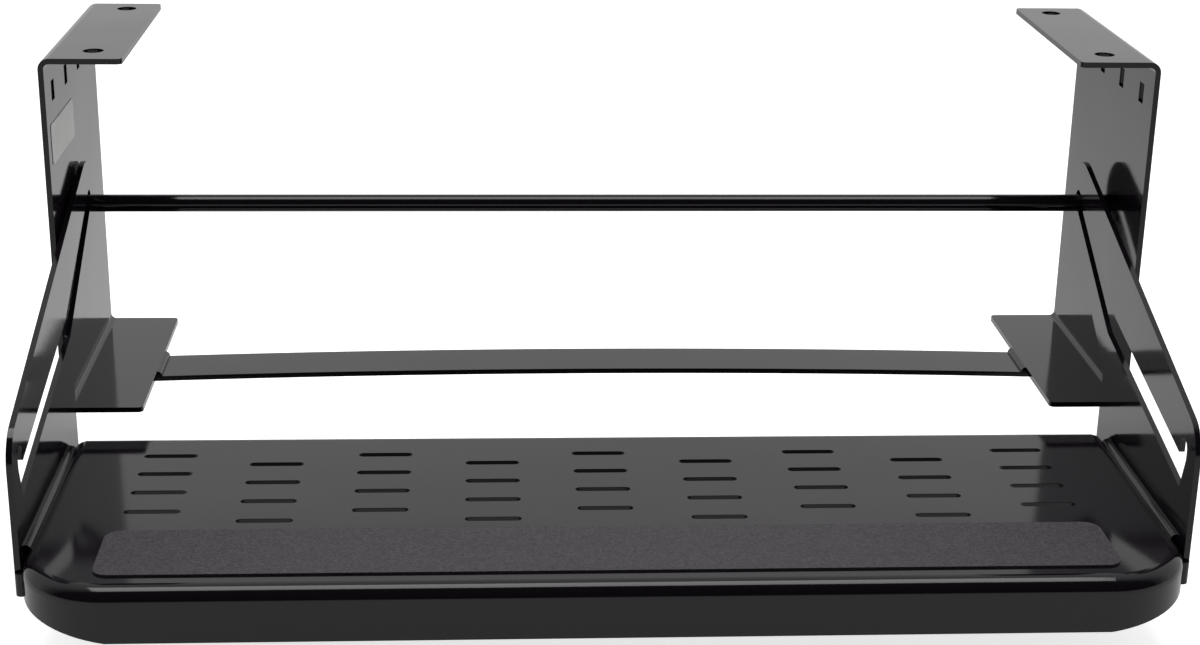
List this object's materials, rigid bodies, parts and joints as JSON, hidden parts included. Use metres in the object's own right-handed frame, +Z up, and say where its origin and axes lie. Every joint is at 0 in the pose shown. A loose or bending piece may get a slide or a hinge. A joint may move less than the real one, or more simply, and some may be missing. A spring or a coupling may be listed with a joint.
{
  "type": "slide-out entry step for a caravan door",
  "caption": "Black steel entry step that bolts under a caravan's door: a pressed tread with slotted arms hangs on a rod between two brackets and slides in under the floor.",
  "frame": {"origin": "centre of the four floor bolt holes, on the top faces of the brackets' upper flanges, which meet the caravan's floor", "axes": "+X to the right along the tread's width as seen by someone stepping up, +Y to the rear (in under the floor), +Z up along the floor bolts"},
  "size_m": [0.6, 0.3475, 0.239],
  "materials": {
    "paint": "gloss black enamel over sheet steel",
    "rod_paint": "gloss black enamel over round bar",
    "weld_paint": "gloss black enamel over rough weld beads",
    "grip": "coarse grit on a charcoal adhesive tape",
    "sticker": "blank pale silver film"
  },
  "bodies": {
    "brackets": {"left_bracket": "paint", "right_bracket": "paint", "sticker": "sticker", "cross_strap": "paint", "strap_weld_left": "weld_paint", "strap_weld_right": "weld_paint"},
    "rod": {"cross_rod": "rod_paint"},
    "step": {"left_arm": "paint", "right_arm": "paint", "tread": "paint", "grip_tape": "grip", "tread_weld_left": "weld_paint", "tread_weld_right": "weld_paint", "lip_weld_left": "weld_paint", "lip_weld_right": "weld_paint"}
  },
  "joints": [
    {"name": "lift", "type": "hinge", "parent": "brackets", "child": "rod", "pos_m": [0, -0.0015, -0.101], "axis": [-1, 0, 0], "range_deg": [0, 43.3]},
    {"name": "push_back", "type": "slide", "parent": "rod", "child": "step", "axis": [0, 0.8704, 0.4924], "range_m": [0, 0.08]}
  ],
  "couplings": [
    {"joint": "lift", "follows": "push_back", "rad_per_m": 9.4248}
  ]
}
